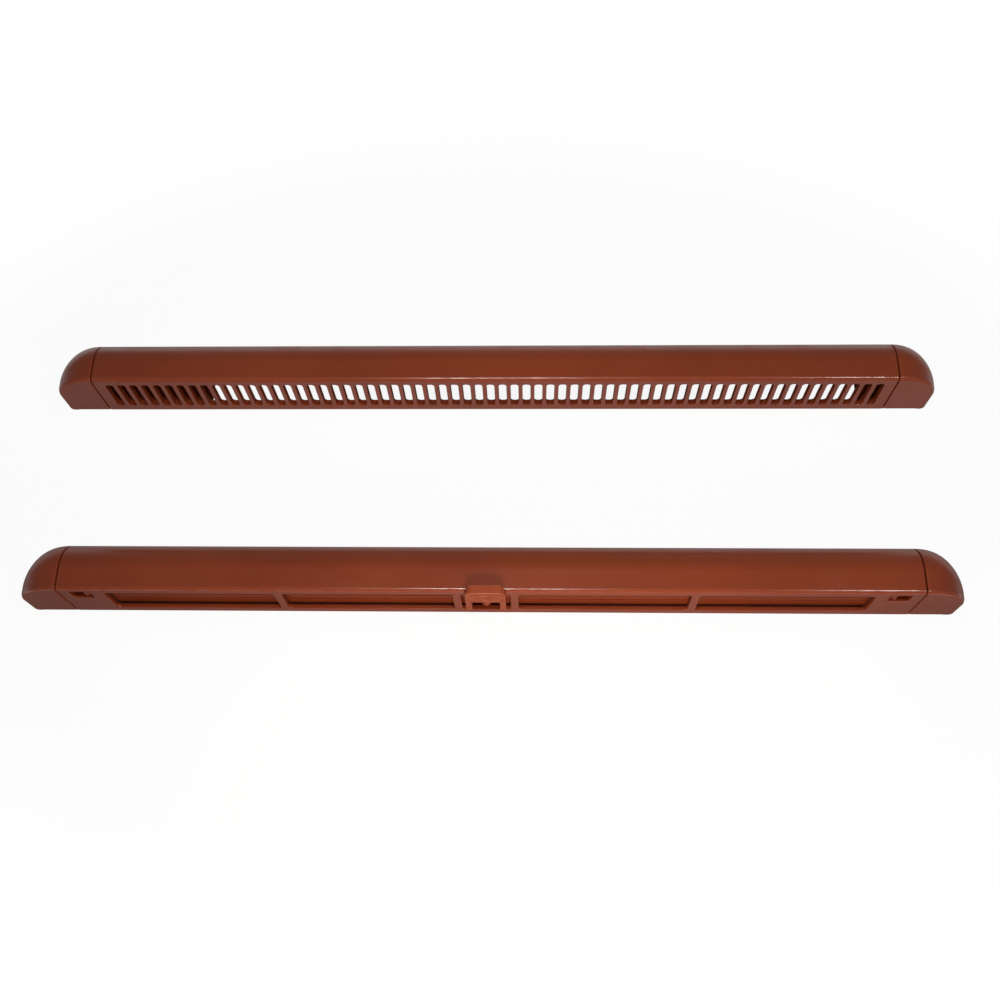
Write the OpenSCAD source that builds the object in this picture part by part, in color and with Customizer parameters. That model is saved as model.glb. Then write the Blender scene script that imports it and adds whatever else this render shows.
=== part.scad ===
// Window trickle vent set: an outer canopy with a slotted underside, and an inner vent whose
// hinged shutter is worked by a thumb catch. Both lie on the faces that go against the window.
// +X runs along the vents, +Y is up on the window, +Z points away from the window.

/* [Section of both units] */
// Length of the straight body between its two end caps
body_length = 362; // [330:1:480]
// Height of the section on the window
section_height = 26; // [24:0.5:32]
// Depth of the section, out from the window
section_depth = 24; // [23:0.5:28]
// Wall thickness of the mouldings
wall = 2; // [1.8:0.1:2.4]
// Outer radius of the curved front
front_radius = 16.5; // [13:0.5:18]
// Radius of the edge between the front and the underside
nose_radius = 1.7; // [1:0.1:2]
// Distance between the undersides of the two units as laid out
layout_pitch = 102; // [60:1:160]

/* [End caps] */
// Length that one end cap adds to the body
cap_length = 19; // [17:0.5:24]
// Open joint between a body and its cap
seam_gap = 0.7; // [0.3:0.05:0.8]
// Fullness of the domed outline: 2 is an ellipse, larger is squarer
cap_fullness = 2.4; // [2:0.1:3]
// Fullness of the front corner of the cap, seen from below
corner_fullness = 1.9; // [1.7:0.1:3]
// Share of the section's height left at the tip of the cap
tip_height = 0.14; // [0.1:0.02:0.3]
// Share of the section's depth left at the tip of the cap
tip_depth = 0.56; // [0.3:0.02:0.7]
// Rounding of the back corner at the tip of the cap
tip_round = 1.8; // [1:0.1:2.5]
// Length of the tongues that hold a cap in the body
tongue_length = 12; // [9:0.5:12.5]
// Thickness of the tongues
tongue_thickness = 1.5; // [1.2:0.1:1.8]
// Play of the tongues against the walls of the body
tongue_play = 0.1; // [0.05:0.05:0.2]

/* [Canopy grille] */
// Distance from slot to slot
slot_pitch = 5.45; // [5:0.05:7]
// Width of one slot
slot_width = 3.6; // [3:0.1:3.8]
// Length of one slot
slot_length = 16.5; // [12:0.5:17]
// Radius of the slot corners
slot_corner = 1.4; // [0.8:0.1:1.5]
// Plain border between the last slot and the end of the body
grille_border = 3.8; // [3:0.1:8]
// Thickness of the slotted underside
grille_thickness = 3; // [2.4:0.1:3.1]

/* [Vent windows] */
// Rail between the front face and the windows or slots
front_rail = 4; // [3.8:0.1:5]
// Rail between the window frame and the vent's windows
rear_rail = 3.7; // [3.4:0.1:5]
// Height of the lip along the back of the vent, behind the windows
back_lip = 5.8; // [4:0.1:6]
// Width of the ribs between the windows
rib_width = 3.3; // [3:0.1:4]
// Width of the slot in which the catch moves
catch_slot_width = 21; // [20.5:0.5:26]
// Plain border between the last window and the end of the body
window_border = 19; // [18.5:0.5:30]
// Radius of the window corners
window_corner = 1.4; // [0.8:0.1:2]
// Length of the small windows that latch the end caps
latch_window_length = 9; // [7:0.5:10]
// Width of the small windows that latch the end caps
latch_window_width = 6.5; // [5:0.5:7]

/* [Shutter] */
// Thickness of the shutter flap
flap_thickness = 1.6; // [1.4:0.1:2]
// Space between the underside plate and the closed flap
flap_space = 1.1; // [1:0.05:1.3]
// Height of the hinge axis above the underside
hinge_height = 4.2; // [4.2:0.1:4.6]
// Radius of the hinge barrel along the front of the flap
barrel_radius = 1.5; // [1.4:0.05:1.6]
// Radius of the hinge pins
pin_radius = 1; // [0.8:0.05:1.05]
// Length of pin held in the flap
pin_grip = 12; // [8:1:20]
// Running clearance of the pins in the bulkheads
pin_clearance = 0.05; // [0.03:0.01:0.08]
// Thickness of the rubber seals under the flap
seal_thickness = 0.8; // [0.6:0.05:0.8]
// Width of the rubber seals
seal_width = 1.2; // [1:0.05:1.3]
// Height of the fine ridges on the face of the flap
ridge_height = 0.3; // [0.2:0.05:0.4]

/* [Thumb catch] */
// Width of the catch
catch_width = 17; // [15:0.5:17.5]
// How far the catch stands out in front of the vent
catch_reach = 2.4; // [2.4:0.1:4]
// How far the catch hangs below the underside
catch_drop = 1.9; // [1.8:0.05:2.4]
// Height of the finger lip at the front of the catch
lip_height = 3.8; // [3:0.1:4]
// Thickness of the finger lip
lip_thickness = 1.3; // [1.1:0.1:1.4]
// Radius of the top corners of the finger lip, seen from the front
lip_corner = 1.8; // [1:0.1:2.5]
// Length of the grip pad, from front to back
pad_length = 9.8; // [8.5:0.1:10]
// Width of each leg behind the pad
leg_width = 2.5; // [2:0.1:3]
// Radius of the domed rivet that holds the catch to the flap
rivet_radius = 2.3; // [2:0.1:2.4]
// Height of the grip ridges on the pad
grip_height = 0.35; // [0.2:0.05:0.5]

/* [Fixing] */
// Diameter of the screw holes
screw_hole = 4.2; // [3.5:0.1:4.6]
// Diameter of the countersinks
countersink = 8; // [7:0.2:9]
// Distance from the end of the body to the screw hole
screw_offset = 8; // [7.5:0.25:9]
// Thickness of the fixing lugs and end webs
lug_thickness = 2.5; // [2.2:0.1:3]
// Width of the fixing lugs
lug_width = 12; // [10:0.5:13]
// Length of the closed web behind the left end of the canopy's grille
left_web = 48.5; // [20:0.5:60]
// Length of the closed web behind the right end of the canopy's grille
right_web = 11.5; // [5:0.5:20]

/* [Hidden] */
$fn = 64;

// Colours of the two plastics, the rubber and the steel
body_colour = [0.45, 0.22, 0.16];
catch_colour = [0.5, 0.23, 0.16];
rubber_colour = [0.09, 0.07, 0.07];
steel_colour = [0.75, 0.75, 0.77];

// Overlap that makes two solids of one piece fuse, and extra length of a cut
fuse = 0.5;
past = 1;

half_body = body_length / 2;
arc_height = section_height - front_radius;
arc_depth = section_depth - front_radius;
catch_bottom = catch_drop + grip_height;
vent_y = -(layout_pitch + section_height - catch_bottom) / 2;
canopy_y = vent_y + layout_pitch;

// Grille: as many slots as fit between the borders
slot_count = floor((body_length - 2 * grille_border) / slot_pitch);
slot_front = section_depth - front_rail;
slot_clear = 0.5;
slot_rear = max(slot_front - slot_length, lug_thickness + slot_clear);

// Windows: two equal ones each side of the catch slot
window_front = section_depth - front_rail;
window_end = half_body - window_border;
window_start = catch_slot_width / 2 + rib_width;
window_length = (window_end - window_start - rib_width) / 2;
window_starts = [
  -window_end, -window_start - window_length, window_start, window_end - window_length
];
window_depth = window_front - rear_rail;

// Bulkheads that carry the hinge pins, and the latch windows outside them
flap_overlap = 1.7;
flap_end_play = 0.8;
bulkhead_thickness = 2.4;
latch_border = 0.6;
latch_front_border = 0.9;
latch_corner = 0.5;
flap_half = window_end + flap_overlap;
bulkhead_inner = flap_half + flap_end_play;
bulkhead_outer = bulkhead_inner + bulkhead_thickness;
latch_start = bulkhead_outer + latch_border;
latch_front = section_depth - nose_radius - latch_front_border;
latch_rear = latch_front - latch_window_width;

// Stiffening webs that carry the ribs of the vent on into its curved front
stiffener = 1.6;
stiffener_rear = 3;
stiffener_floor = 17;

// Shutter: heights are measured up from the underside, depths out from the window
flap_face = wall + flap_space;
flap_back = flap_face + flap_thickness;
flap_rear = rear_rail - flap_overlap;
back_lip_play = 0.4;
back_lip_thickness = flap_rear - back_lip_play;
hinge_depth = window_front;
pin_end_play = 0.2;
seal_edge = 0.2;
seal_stop = 2.5;
seal_side_gap = 0.1;
seal_corner = 2.5;
seal_rear = flap_rear + seal_edge;
seal_inner_rear = seal_rear + seal_width;
seal_front = window_front - seal_stop;
ridge_width = 1;
ridge_spread = 3.6;
ridge_end_gap = 1;
ridge_setback = 0.5;

// Catch
catch_front = section_depth + catch_reach;
pad_rear = catch_front - pad_length;
pad_top = -0.4;
leg_rear = 7;
leg_post = 2.2;
foot_overhang = 1.2;
foot_length = 5.6;
foot_rear = leg_rear - foot_overhang;
foot_front = foot_rear + foot_length;
foot_thickness = 0.8;
rivet_depth = (foot_rear + foot_front) / 2;
rivet_shank = 1.2;
rivet_play = 0.02;
rivet_tail = 0.8;
pad_corner = 3;
lip_half = catch_width / 2 - pad_corner + sqrt(pow(pad_corner, 2) - pow(pad_corner - lip_thickness, 2));
grip_pitch = 1.3;
grip_width = 0.5;
grip_border = 1.1;
grip_front_border = 2.2;
grip_angle = 45;
grip_steps = 10;

// Fixing
lug_height = 9;
screw_x = half_body + screw_offset;

// A flat section drawn as [height, depth], run along X from x0 to x1
module along_x(x0, x1) {
  translate([x0, 0, 0]) rotate([90, 0, 90]) linear_extrude(x1 - x0) children();
}

// A flat shape drawn as [x, depth], run up from height y0 to y1
module across_y(y0, y1) {
  translate([0, y1, 0]) rotate([90, 0, 0]) linear_extrude(y1 - y0) children();
}

module both_ends() {
  children();
  mirror([1, 0, 0]) children();
}

// One quarter of a disc, in the corner between front and top
module front_quarter(r) {
  translate([arc_height, arc_depth]) intersection() {
    circle(r);
    square(r);
  }
}

module outer_section() {
  square([arc_height, section_depth - nose_radius]);
  translate([nose_radius, 0]) square([arc_height - nose_radius, section_depth]);
  translate([nose_radius, section_depth - nose_radius]) circle(nose_radius);
  square([section_height, arc_depth]);
  front_quarter(front_radius);
}

// The hollow of the section, let out by `grow` on every side and open at the back
module hollow_section(grow = 0) {
  inset = wall - grow;
  translate([inset, -past]) square([arc_height - inset, section_depth - inset + past]);
  translate([inset, -past]) square([section_height - 2 * inset, arc_depth + past]);
  front_quarter(front_radius - inset);
}

module channel() {
  difference() {
    along_x(-half_body, half_body) outer_section();
    along_x(-half_body - past, half_body + past) hollow_section();
  }
}

module rounded_rectangle(length, width, r) {
  translate([r, 0]) square([length - 2 * r, width]);
  translate([0, r]) square([length, width - 2 * r]);
  for (x = [r, length - r], y = [r, width - r]) translate([x, y]) circle(r);
}

// A wall across the hollow between x0 and x1, from depth `low` to `high`, above height `floor_height`
module web(x0, x1, low, high, floor_height = 0) {
  along_x(x0, x1) intersection() {
    hollow_section(fuse);
    translate([floor_height, low]) square([section_height, high - low]);
  }
}

// Rounded lug beyond the right end of a body, with its web inside the body from `web_start`
module lug(web_start) {
  web(web_start, half_body, 0, lug_thickness);
  translate([0, lug_height, 0]) {
    translate([half_body - wall, -lug_width / 2, 0])
      cube([screw_offset + wall, lug_width, lug_thickness]);
    translate([screw_x, 0, 0]) cylinder(d = lug_width, h = lug_thickness);
  }
}

module screw_hole_cut() {
  sink_depth = lug_thickness / 2;
  translate([screw_x, lug_height, 0]) {
    translate([0, 0, -past]) cylinder(d = screw_hole, h = lug_thickness + 2 * past);
    translate([0, 0, lug_thickness - sink_depth])
      cylinder(d1 = screw_hole, d2 = countersink, h = sink_depth);
  }
}

// Domed end cap, at the right end. Its rings shrink along a rounded outline from seam to tip.
cap_rings = 14;
nose_steps = 3;
arc_steps = 14;
inner_nose = 0.3;
root_gap = 0.2;
root_length = 3.5;
root_bite = 0.6;
top_tongue_rear = lug_thickness + 0.8;
joint_lip_play = 0.05;
joint_lip_inset = 0.3;
joint_lip_depth = 4;

// Outline of the section from the back of the underside, round the front, to the back of the top
function section_path(inset, nose) = concat(
  [[inset, 0]],
  [for (k = [0:nose_steps]) let (t = 90 * k / nose_steps)
    [inset + nose * (1 - cos(t)), section_depth - inset - nose * (1 - sin(t))]],
  [for (k = [0:arc_steps]) let (t = 90 * k / arc_steps, r = front_radius - inset)
    [arc_height + r * sin(t), arc_depth + r * cos(t)]],
  [[section_height - inset, 0]]
);

function fall(s, fullness) = pow(max(0, 1 - pow(s, fullness)), 1 / fullness);
function height_share(s) = tip_height + (1 - tip_height) * fall(s, cap_fullness);
function depth_share(s) = tip_depth + (1 - tip_depth) * fall(s, corner_fullness);

// Depth of the cap's back edge, which rounds away from the window at the tip
function back_edge(s) = let (t = max(0, 1 - (1 - s) * cap_length / tip_round))
  tip_round * (1 - sqrt(1 - t * t));

function cap_ring(path, base, reach, s) = [
  for (q = path) [
    reach * s,
    base + (q[0] - base) * height_share(s),
    max(q[1] * depth_share(s), back_edge(s))
  ]
];

module cap_shell() {
  outer = section_path(0, nose_radius);
  inner = section_path(wall, inner_nose);
  reach = cap_length - seam_gap;
  n = cap_rings;
  m = len(outer);
  shares = [for (i = [0:n]) sin(90 * i / n)];
  points = concat(
    [for (s = shares) each cap_ring(outer, 0, reach, s)],
    [for (s = shares) each cap_ring(inner, wall, reach - wall, s)]
  );
  function o(i, j) = i * m + j;
  function q(i, j) = (n + 1 + i) * m + j;
  last = m - 1;
  faces = concat(
    [for (i = [0:n - 1], j = [0:last - 1])
      [o(i, j), o(i, j + 1), o(i + 1, j + 1), o(i + 1, j)]],
    [for (i = [0:n - 1], j = [0:last - 1])
      [q(i, j), q(i + 1, j), q(i + 1, j + 1), q(i, j + 1)]],
    [for (j = [0:last - 1]) [o(0, j), q(0, j), q(0, j + 1), o(0, j + 1)]],
    [for (i = [0:n - 1]) [o(i, 0), o(i + 1, 0), q(i + 1, 0), q(i, 0)]],
    [for (i = [0:n - 1]) [o(i + 1, last), o(i, last), q(i, last), q(i + 1, last)]],
    [[for (j = [0:last]) o(n, j)], [for (j = [last:-1:0]) q(n, j)]],
    [[o(n, 0), o(n, last), q(n, last), q(n, 0)]]
  );
  translate([half_body + seam_gap, 0, 0]) polyhedron(points, faces);
}

// A tongue along X under a wall, with a root let into the cap's own wall
module tongue(y0, y1, z0, z1, root_y, root_z) {
  root_start = half_body + seam_gap + root_gap;
  root_end = root_start + root_length;
  translate([half_body - tongue_length, y0, z0])
    cube([root_end - half_body + tongue_length, y1 - y0, z1 - z0]);
  translate([root_start, y0 + min(root_y, 0), z0 + min(root_z, 0)])
    cube([root_end - root_start, y1 - y0 + abs(root_y), z1 - z0 + abs(root_z)]);
}

// Lip in the open joint, along the back of the underside
module joint_lip() {
  translate([half_body + joint_lip_play, joint_lip_inset, 0])
    cube([seam_gap + root_bite - joint_lip_play, wall - 2 * joint_lip_inset, joint_lip_depth]);
}

module end_cap() {
  root = tongue_play + root_bite;
  top = section_height - wall - tongue_play;
  front = section_depth - wall - tongue_play;
  cap_shell();
  joint_lip();
  tongue(top - tongue_thickness, top, top_tongue_rear, arc_depth, root, 0);
  tongue(hinge_height + barrel_radius, arc_height, front - tongue_thickness, front, 0, root);
}

// Tongue with a sloped hook that drops into the latch window of the vent
module latch_tongue() {
  end_play = 0.4;
  side_play = 0.4;
  hook_length = 3;
  hook_flat = 0.6;
  hook_drop = wall - 0.5;
  low = wall + tongue_play;
  high = low + tongue_thickness;
  bite = low - tongue_play - root_bite;
  tip = latch_start + end_play;
  hook_end = tip + hook_length;
  root_start = half_body + seam_gap + root_gap;
  root_end = root_start + root_length;
  translate([0, 0, latch_rear + side_play]) linear_extrude(latch_window_width - 2 * side_play) polygon([
    [tip, high],
    [tip, low],
    [hook_end - hook_flat, low - hook_drop],
    [hook_end, low - hook_drop],
    [hook_end, low],
    [root_start, low],
    [root_start, bite],
    [root_end, bite],
    [root_end, high]
  ]);
}

module canopy_shell() {
  color(body_colour) translate([0, canopy_y, 0]) difference() {
    union() {
      channel();
      along_x(-half_body, half_body) translate([wall - fuse, 0])
        square([grille_thickness - wall + fuse, section_depth - wall + fuse]);
      lug(half_body - right_web);
      mirror([1, 0, 0]) lug(half_body - left_web);
    }
    both_ends() screw_hole_cut();
    across_y(-past, grille_thickness + past) for (i = [0:slot_count - 1])
      translate([(i - (slot_count - 1) / 2) * slot_pitch - slot_width / 2, slot_rear])
        rounded_rectangle(slot_width, slot_front - slot_rear, slot_corner);
  }
}

module canopy_end_cap_right() {
  color(body_colour) translate([0, canopy_y, 0]) end_cap();
}

module canopy_end_cap_left() {
  color(body_colour) translate([0, canopy_y, 0]) mirror([1, 0, 0]) end_cap();
}

module vent_housing() {
  rib_x = window_start + window_length + rib_width / 2;
  catch_rib_x = window_start - rib_width / 2;
  color(body_colour) translate([0, vent_y, 0]) difference() {
    union() {
      channel();
      along_x(-bulkhead_outer, bulkhead_outer) square([back_lip, back_lip_thickness]);
      both_ends() {
        lug(bulkhead_outer - fuse);
        web(bulkhead_inner, bulkhead_outer, 0, section_depth);
        for (x = [rib_x, catch_rib_x])
          web(x - stiffener / 2, x + stiffener / 2, stiffener_rear, section_depth, stiffener_floor);
      }
    }
    both_ends() {
      screw_hole_cut();
      translate([bulkhead_inner - past, hinge_height, hinge_depth]) rotate([0, 90, 0])
        cylinder(r = pin_radius + pin_clearance, h = bulkhead_outer - bulkhead_inner + 2 * past);
      across_y(-past, wall + past) translate([latch_start, latch_rear])
        rounded_rectangle(latch_window_length, latch_window_width, latch_corner);
    }
    across_y(-past, wall + past) {
      for (x = window_starts) translate([x, rear_rail])
        rounded_rectangle(window_length, window_depth, window_corner);
      translate([-catch_slot_width / 2, rear_rail])
        rounded_rectangle(catch_slot_width, window_depth, window_corner);
    }
  }
}

module vent_end_cap_right() {
  color(body_colour) translate([0, vent_y, 0]) {
    end_cap();
    latch_tongue();
  }
}

module vent_end_cap_left() {
  color(body_colour) translate([0, vent_y, 0]) mirror([1, 0, 0]) {
    end_cap();
    latch_tongue();
  }
}

// Flap with a hinge barrel along its front edge and fine ridges facing each window
module shutter_flap() {
  ridge_middle = (window_front + rear_rail) / 2 - ridge_setback;
  color(body_colour) translate([0, vent_y, 0]) difference() {
    union() {
      translate([-flap_half, flap_face, flap_rear])
        cube([2 * flap_half, flap_thickness, hinge_depth - flap_rear]);
      translate([-flap_half, hinge_height, hinge_depth]) rotate([0, 90, 0])
        cylinder(r = barrel_radius, h = 2 * flap_half);
      for (x = window_starts, k = [-1, 0, 1]) {
        middle = ridge_middle + k * ridge_spread;
        translate([x + ridge_end_gap, flap_face - ridge_height, middle - ridge_width / 2])
          cube([window_length - 2 * ridge_end_gap, ridge_height + fuse, ridge_width]);
      }
    }
    both_ends() translate([flap_half - pin_grip, hinge_height, hinge_depth]) rotate([0, 90, 0])
      cylinder(r = pin_radius, h = pin_grip + past);
    rivet_hole();
  }
}

module rivet_hole() {
  translate([0, -past, rivet_depth]) rotate([-90, 0, 0])
    cylinder(r = rivet_shank + rivet_play, h = flap_back + 2 * past);
}

module hinge_pin() {
  translate([flap_half - pin_grip, hinge_height, hinge_depth]) rotate([0, 90, 0])
    cylinder(r = pin_radius, h = pin_grip + bulkhead_outer - flap_half - pin_end_play);
}

module hinge_pin_right() {
  color(steel_colour) translate([0, vent_y, 0]) hinge_pin();
}

module hinge_pin_left() {
  color(steel_colour) translate([0, vent_y, 0]) mirror([1, 0, 0]) hinge_pin();
}

// Rubber seal round the rear and the two ends of window i, glued to the face of the flap
module seal(i) {
  edge = seal_width + seal_side_gap;
  left = window_starts[i] - edge;
  length = window_length + 2 * edge;
  depth = seal_front - seal_rear + seal_corner;
  low = flap_face - seal_thickness;
  color(rubber_colour) translate([0, vent_y, 0]) across_y(low, flap_face) difference() {
    translate([left, seal_rear]) rounded_rectangle(length, depth, seal_corner);
    translate([left + seal_width, seal_inner_rear])
      rounded_rectangle(length - 2 * seal_width, depth, seal_corner - seal_width);
    translate([left - past, seal_front]) square([length + 2 * past, seal_corner + past]);
  }
}

module seal_left_outer() seal(0);
module seal_left_inner() seal(1);
module seal_right_inner() seal(2);
module seal_right_outer() seal(3);

// Grip pad with rounded front corners, drawn as [x, depth]
module pad_outline() {
  translate([-catch_width / 2, pad_rear]) square([catch_width, pad_length - pad_corner]);
  translate([pad_corner - catch_width / 2, pad_rear])
    square([catch_width - 2 * pad_corner, pad_length]);
  for (x = [-1, 1])
    translate([x * (catch_width / 2 - pad_corner), catch_front - pad_corner]) circle(pad_corner);
}

module grip_ridges() {
  across_y(-catch_bottom, -catch_drop + fuse) intersection() {
    translate([grip_border - catch_width / 2, pad_rear + grip_border])
      square([catch_width - 2 * grip_border, pad_length - grip_border - grip_front_border]);
    for (i = [-grip_steps:grip_steps])
      translate([i * grip_pitch, pad_rear + pad_length / 2]) rotate(grip_angle)
        square([2 * pad_length, grip_width], center = true);
  }
}

// Lip at the front of the pad: its plan follows the pad, and its top corners are rounded
module finger_lip() {
  lip_rear = catch_front - lip_thickness;
  lip_low = -catch_drop - 2 * lip_corner;
  intersection() {
    across_y(-catch_drop, lip_height - catch_drop) intersection() {
      pad_outline();
      translate([-catch_width, lip_rear]) square([2 * catch_width, lip_thickness]);
    }
    translate([-lip_half, lip_low, lip_rear - past]) linear_extrude(lip_thickness + 2 * past)
      rounded_rectangle(2 * lip_half, lip_height + 2 * lip_corner, lip_corner);
  }
}

module thumb_catch() {
  color(catch_colour) translate([0, vent_y, 0]) difference() {
    union() {
      across_y(-catch_drop, pad_top) pad_outline();
      finger_lip();
      grip_ridges();
      for (x = [-catch_width / 2, catch_width / 2 - leg_width]) {
        translate([x, -catch_drop, leg_rear])
          cube([leg_width, catch_drop + pad_top, pad_rear - leg_rear + fuse]);
        translate([x, -catch_drop, leg_rear])
          cube([leg_width, catch_drop + flap_face, leg_post]);
      }
      translate([-catch_width / 2, flap_face - foot_thickness, foot_rear])
        cube([catch_width, foot_thickness, foot_front - foot_rear]);
    }
    rivet_hole();
  }
}

// Domed rivet through the foot of the catch and the flap
module catch_rivet() {
  seat = flap_face - foot_thickness;
  color(catch_colour) translate([0, vent_y, 0]) translate([0, seat, rivet_depth]) rotate([-90, 0, 0]) {
    intersection() {
      sphere(r = rivet_radius);
      translate([0, 0, -rivet_radius]) cylinder(r = rivet_radius + past, h = rivet_radius);
    }
    cylinder(r = rivet_shank, h = flap_back - seat + rivet_tail);
    translate([0, 0, flap_back - seat]) cylinder(r = rivet_radius, h = rivet_tail);
  }
}

canopy_shell();
canopy_end_cap_left();
canopy_end_cap_right();
vent_housing();
vent_end_cap_left();
vent_end_cap_right();
shutter_flap();
hinge_pin_left();
hinge_pin_right();
seal_left_outer();
seal_left_inner();
seal_right_inner();
seal_right_outer();
thumb_catch();
catch_rivet();
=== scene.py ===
"""Looks of a window trickle vent set: a slotted canopy, and a vent with a hinged shutter.

Both units lie on the faces that go against the window. +X runs along them, +Y is up on the
window and +Z points away from it. Every size is in metres.
"""

import logging
import math
from dataclasses import dataclass
from enum import Enum
from typing import Callable

import bmesh
import bpy
from bmesh.types import BMesh, BMEdge, BMVert
from mathutils import Euler, Matrix, Vector


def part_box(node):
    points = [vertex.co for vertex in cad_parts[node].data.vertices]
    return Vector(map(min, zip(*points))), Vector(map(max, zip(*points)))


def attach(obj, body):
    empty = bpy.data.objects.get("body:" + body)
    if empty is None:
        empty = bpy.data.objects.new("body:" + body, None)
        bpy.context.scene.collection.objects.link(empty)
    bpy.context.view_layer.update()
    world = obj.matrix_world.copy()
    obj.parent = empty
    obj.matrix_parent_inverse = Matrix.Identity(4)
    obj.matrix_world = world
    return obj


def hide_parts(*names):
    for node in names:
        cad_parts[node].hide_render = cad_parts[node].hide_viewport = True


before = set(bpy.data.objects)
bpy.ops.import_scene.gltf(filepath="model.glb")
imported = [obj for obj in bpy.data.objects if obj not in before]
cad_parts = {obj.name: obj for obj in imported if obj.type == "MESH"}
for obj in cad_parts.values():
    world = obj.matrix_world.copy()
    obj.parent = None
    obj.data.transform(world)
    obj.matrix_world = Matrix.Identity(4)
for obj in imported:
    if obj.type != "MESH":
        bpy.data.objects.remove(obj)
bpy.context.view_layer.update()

MM = 0.001
MERGE = 1e-6
FLAT_ANGLE = math.radians(0.6)
SHARP_ANGLE = math.radians(28)
SMOOTH_ANGLE = math.radians(50)
WEAR_AND_HIGHLIGHT_LAYER = "rub"
SHELTERED = 0.1
WHITE = (1.0, 1.0, 1.0)
LOG = logging.getLogger("trickle_vent")

Colour = tuple[float, float, float]
Point = tuple[float, float, float]
Span = tuple[float, float]


class Body(Enum):
    """Bodies that the pieces ride on."""

    FRAME_SIDE = "frame_side"
    SHUTTER = "shutter"


class Slot(Enum):
    """Material slots of the record."""

    BROWN = "brown_plastic"
    CATCH = "catch_plastic"
    RUBBER = "seal_rubber"
    STEEL = "pin_steel"


class End(Enum):
    """The two ends of a unit, by the direction in which the end points."""

    LEFT = -1
    RIGHT = 1


# Shared effects


def new_group(name: str, inputs: dict[str, float],
              outputs: tuple[str, ...]) -> bpy.types.NodeTree:
    """Starts a shader node group of plain number sockets.

    Args:
        name: Name of the group.
        inputs: Default value of each input, by name.
        outputs: Names of the outputs.

    Returns:
        The group's tree, with its input and output nodes in place.
    """
    tree = bpy.data.node_groups.new(name, "ShaderNodeTree")
    for label, value in inputs.items():
        socket = tree.interface.new_socket(label, in_out="INPUT", socket_type="NodeSocketFloat")
        socket.default_value = value
    for label in outputs:
        tree.interface.new_socket(label, in_out="OUTPUT", socket_type="NodeSocketFloat")
    tree.nodes.new("NodeGroupInput").name = "In"
    tree.nodes.new("NodeGroupOutput").name = "Out"
    return tree


class NodePen:
    """Places and joins the nodes of one tree."""

    def __init__(self, tree: bpy.types.NodeTree) -> None:
        """Keeps the tree that is drawn on."""
        self.tree = tree

    def add(self, kind: str, **settings: object) -> bpy.types.Node:
        """Adds a node.

        Args:
            kind: Type name of the node.
            settings: Properties to set on it.

        Returns:
            The new node.
        """
        node = self.tree.nodes.new(kind)
        for label, value in settings.items():
            setattr(node, label, value)
        return node

    def join(self, source: bpy.types.NodeSocket, target: bpy.types.NodeSocket) -> None:
        """Links one output to one input."""
        self.tree.links.new(source, target)

    def feed(self, term: object, target: bpy.types.NodeSocket) -> None:
        """Links a socket to an input, or sets the input to a plain value.

        Args:
            term: Socket to read, or value.
            target: Input that takes it.
        """
        if isinstance(term, bpy.types.NodeSocket):
            self.join(term, target)
        else:
            target.default_value = term

    def math(self, operation: str, *terms: object) -> bpy.types.NodeSocket:
        """Adds a Math node.

        Args:
            operation: Name of the operation.
            terms: Numbers, or sockets to read.

        Returns:
            The node's output.
        """
        node = self.add("ShaderNodeMath", operation=operation)
        for socket, term in zip(node.inputs, terms):
            self.feed(term, socket)
        return node.outputs[0]

    def span(self, value: bpy.types.NodeSocket, low: float, high: float,
             start: float = 0.0, end: float = 1.0) -> bpy.types.NodeSocket:
        """Maps a value from low..high to start..end, held at both ends.

        Args:
            value: Socket to read.
            low: Value that gives start.
            high: Value that gives end.
            start: First result.
            end: Last result.

        Returns:
            The mapped value.
        """
        node = self.add("ShaderNodeMapRange", interpolation_type="SMOOTHSTEP")
        self.join(value, node.inputs["Value"])
        labels = ("From Min", "From Max", "To Min", "To Max")
        for label, number in zip(labels, (low, high, start, end)):
            node.inputs[label].default_value = number
        return node.outputs["Result"]

    def noise(self, vector: bpy.types.NodeSocket, scale: object, detail: float,
              roughness: float = 0.5) -> bpy.types.NodeSocket:
        """Adds a noise texture.

        Args:
            vector: Coordinates to read.
            scale: Number or socket for the scale.
            detail: Octaves of detail.
            roughness: Weight of the finer octaves.

        Returns:
            The noise value.
        """
        node = self.add("ShaderNodeTexNoise")
        self.join(vector, node.inputs["Vector"])
        self.feed(scale, node.inputs["Scale"])
        node.inputs["Detail"].default_value = detail
        node.inputs["Roughness"].default_value = roughness
        return node.outputs["Fac"]

    def mixed(self, factor: bpy.types.NodeSocket, first: object,
              second: object) -> bpy.types.NodeSocket:
        """Mixes two colours.

        Args:
            factor: Share of the second colour.
            first: Colour with its alpha, or socket to read.
            second: Colour with its alpha, or socket to read.

        Returns:
            The mixed colour.
        """
        node = self.add("ShaderNodeMix", data_type="RGBA")
        self.join(factor, node.inputs["Factor"])
        self.feed(first, node.inputs[6])
        self.feed(second, node.inputs[7])
        return node.outputs[2]

    def stretched(self, scale: Point) -> bpy.types.NodeSocket:
        """Gives Object coordinates stretched along the axes.

        Args:
            scale: Factor along each axis.

        Returns:
            The vector output.
        """
        place = self.add("ShaderNodeTexCoord")
        mapping = self.add("ShaderNodeMapping")
        self.join(place.outputs["Object"], mapping.inputs["Vector"])
        mapping.inputs["Scale"].default_value = scale
        return mapping.outputs["Vector"]

    def bump(self, height: bpy.types.NodeSocket, strength: float, depth: float,
             target: bpy.types.NodeSocket) -> None:
        """Feeds a height to a normal input through a Bump node.

        Args:
            height: Socket to read.
            strength: Strength of the bump.
            depth: Depth of the bump.
            target: Normal input that takes it.
        """
        node = self.add("ShaderNodeBump")
        node.inputs["Strength"].default_value = strength
        node.inputs["Distance"].default_value = depth
        self.join(height, node.inputs["Height"])
        self.join(node.outputs["Normal"], target)


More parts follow.
